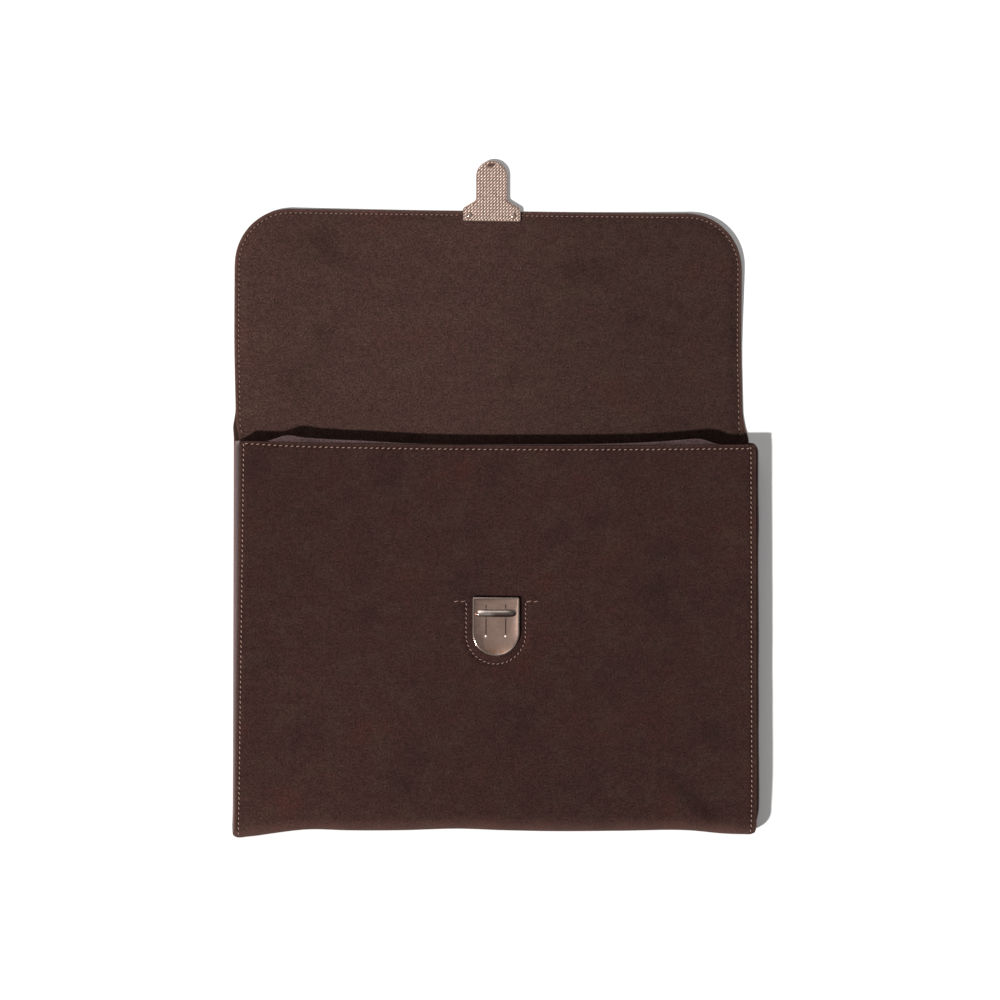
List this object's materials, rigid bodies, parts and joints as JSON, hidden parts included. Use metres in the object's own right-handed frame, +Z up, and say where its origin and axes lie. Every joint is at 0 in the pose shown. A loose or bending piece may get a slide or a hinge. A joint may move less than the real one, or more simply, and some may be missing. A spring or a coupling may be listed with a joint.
{
  "type": "laptop sleeve",
  "caption": "Slim dark brown nubuck laptop sleeve with a fold-over flap, metal tongue and sliding tuck lock, lying open on its back.",
  "frame": {"origin": "middle of the open sleeve's footprint, on the surface it lies on", "axes": "+Z up through the thickness with the back panel below, +X to the right seen from above, +Y from the bottom of the sleeve towards the open flap and its tongue"},
  "size_m": [0.385, 0.495, 0.0294],
  "materials": {
    "nubuck": "dark brown nubuck with a fine mottled nap, paler along folded edges",
    "lock_patch_leather": "thin reinforcing leather behind the lock",
    "suede_lining": "suede lining in a slightly paler, greyer brown than the outside",
    "felt_padding": "pressed felt",
    "stiffener_board": "bonded leather board",
    "champagne_metal": "champagne plated zinc alloy, brushed faces and polished edges",
    "plated_steel": "nickel plated steel"
  },
  "bodies": {
    "body": {"front_panel": "nubuck", "bottom_fold": "nubuck", "back_panel": "nubuck", "left_gusset": "nubuck", "right_gusset": "nubuck", "lock_patch": "lock_patch_leather", "front_lining": "suede_lining", "back_lining": "suede_lining", "bottom_lining": "suede_lining", "left_side_lining": "suede_lining", "right_side_lining": "suede_lining", "front_padding": "felt_padding", "back_padding": "felt_padding", "lock_front_plate": "champagne_metal", "lock_case": "plated_steel", "leaf_rivet_left": "plated_steel", "leaf_rivet_right": "plated_steel", "lock_back_plate": "plated_steel", "lock_screw_1": "plated_steel", "lock_screw_2": "plated_steel", "lock_screw_3": "plated_steel", "lock_screw_4": "plated_steel"},
    "spine": {"spine_leather": "nubuck", "spine_lining": "suede_lining"},
    "flap": {"flap_leather": "nubuck", "flap_stiffener": "stiffener_board", "flap_lining": "suede_lining", "tongue_blade": "champagne_metal", "tongue_outer_plate": "champagne_metal", "tongue_rivet_left": "champagne_metal", "tongue_rivet_right": "champagne_metal"},
    "slider": {"slider_bar": "champagne_metal", "slider_foot": "plated_steel"},
    "catch": {"catch_leaf": "plated_steel"}
  },
  "joints": [
    {"name": "spine_fold", "type": "hinge", "parent": "body", "child": "spine", "pos_m": [0, 0.06, 0.0035], "axis": [1, 0, 0], "range_deg": [0, 90]},
    {"name": "flap_fold", "type": "hinge", "parent": "spine", "child": "flap", "pos_m": [0, 0.083, 0.0035], "axis": [1, 0, 0], "range_deg": [0, 88]},
    {"name": "slider_slide", "type": "slide", "parent": "body", "child": "slider", "axis": [0, -1, 0], "range_m": [0, 0.01], "stiffness_N_per_m": 150},
    {"name": "catch_dip", "type": "hinge", "parent": "body", "child": "catch", "pos_m": [0, -0.0765, 0.0239], "axis": [1, 0, 0], "range_deg": [0, 1.96]}
  ],
  "couplings": [
    {"joint": "catch_dip", "follows": "slider_slide", "rad_per_m": 3.4}
  ]
}
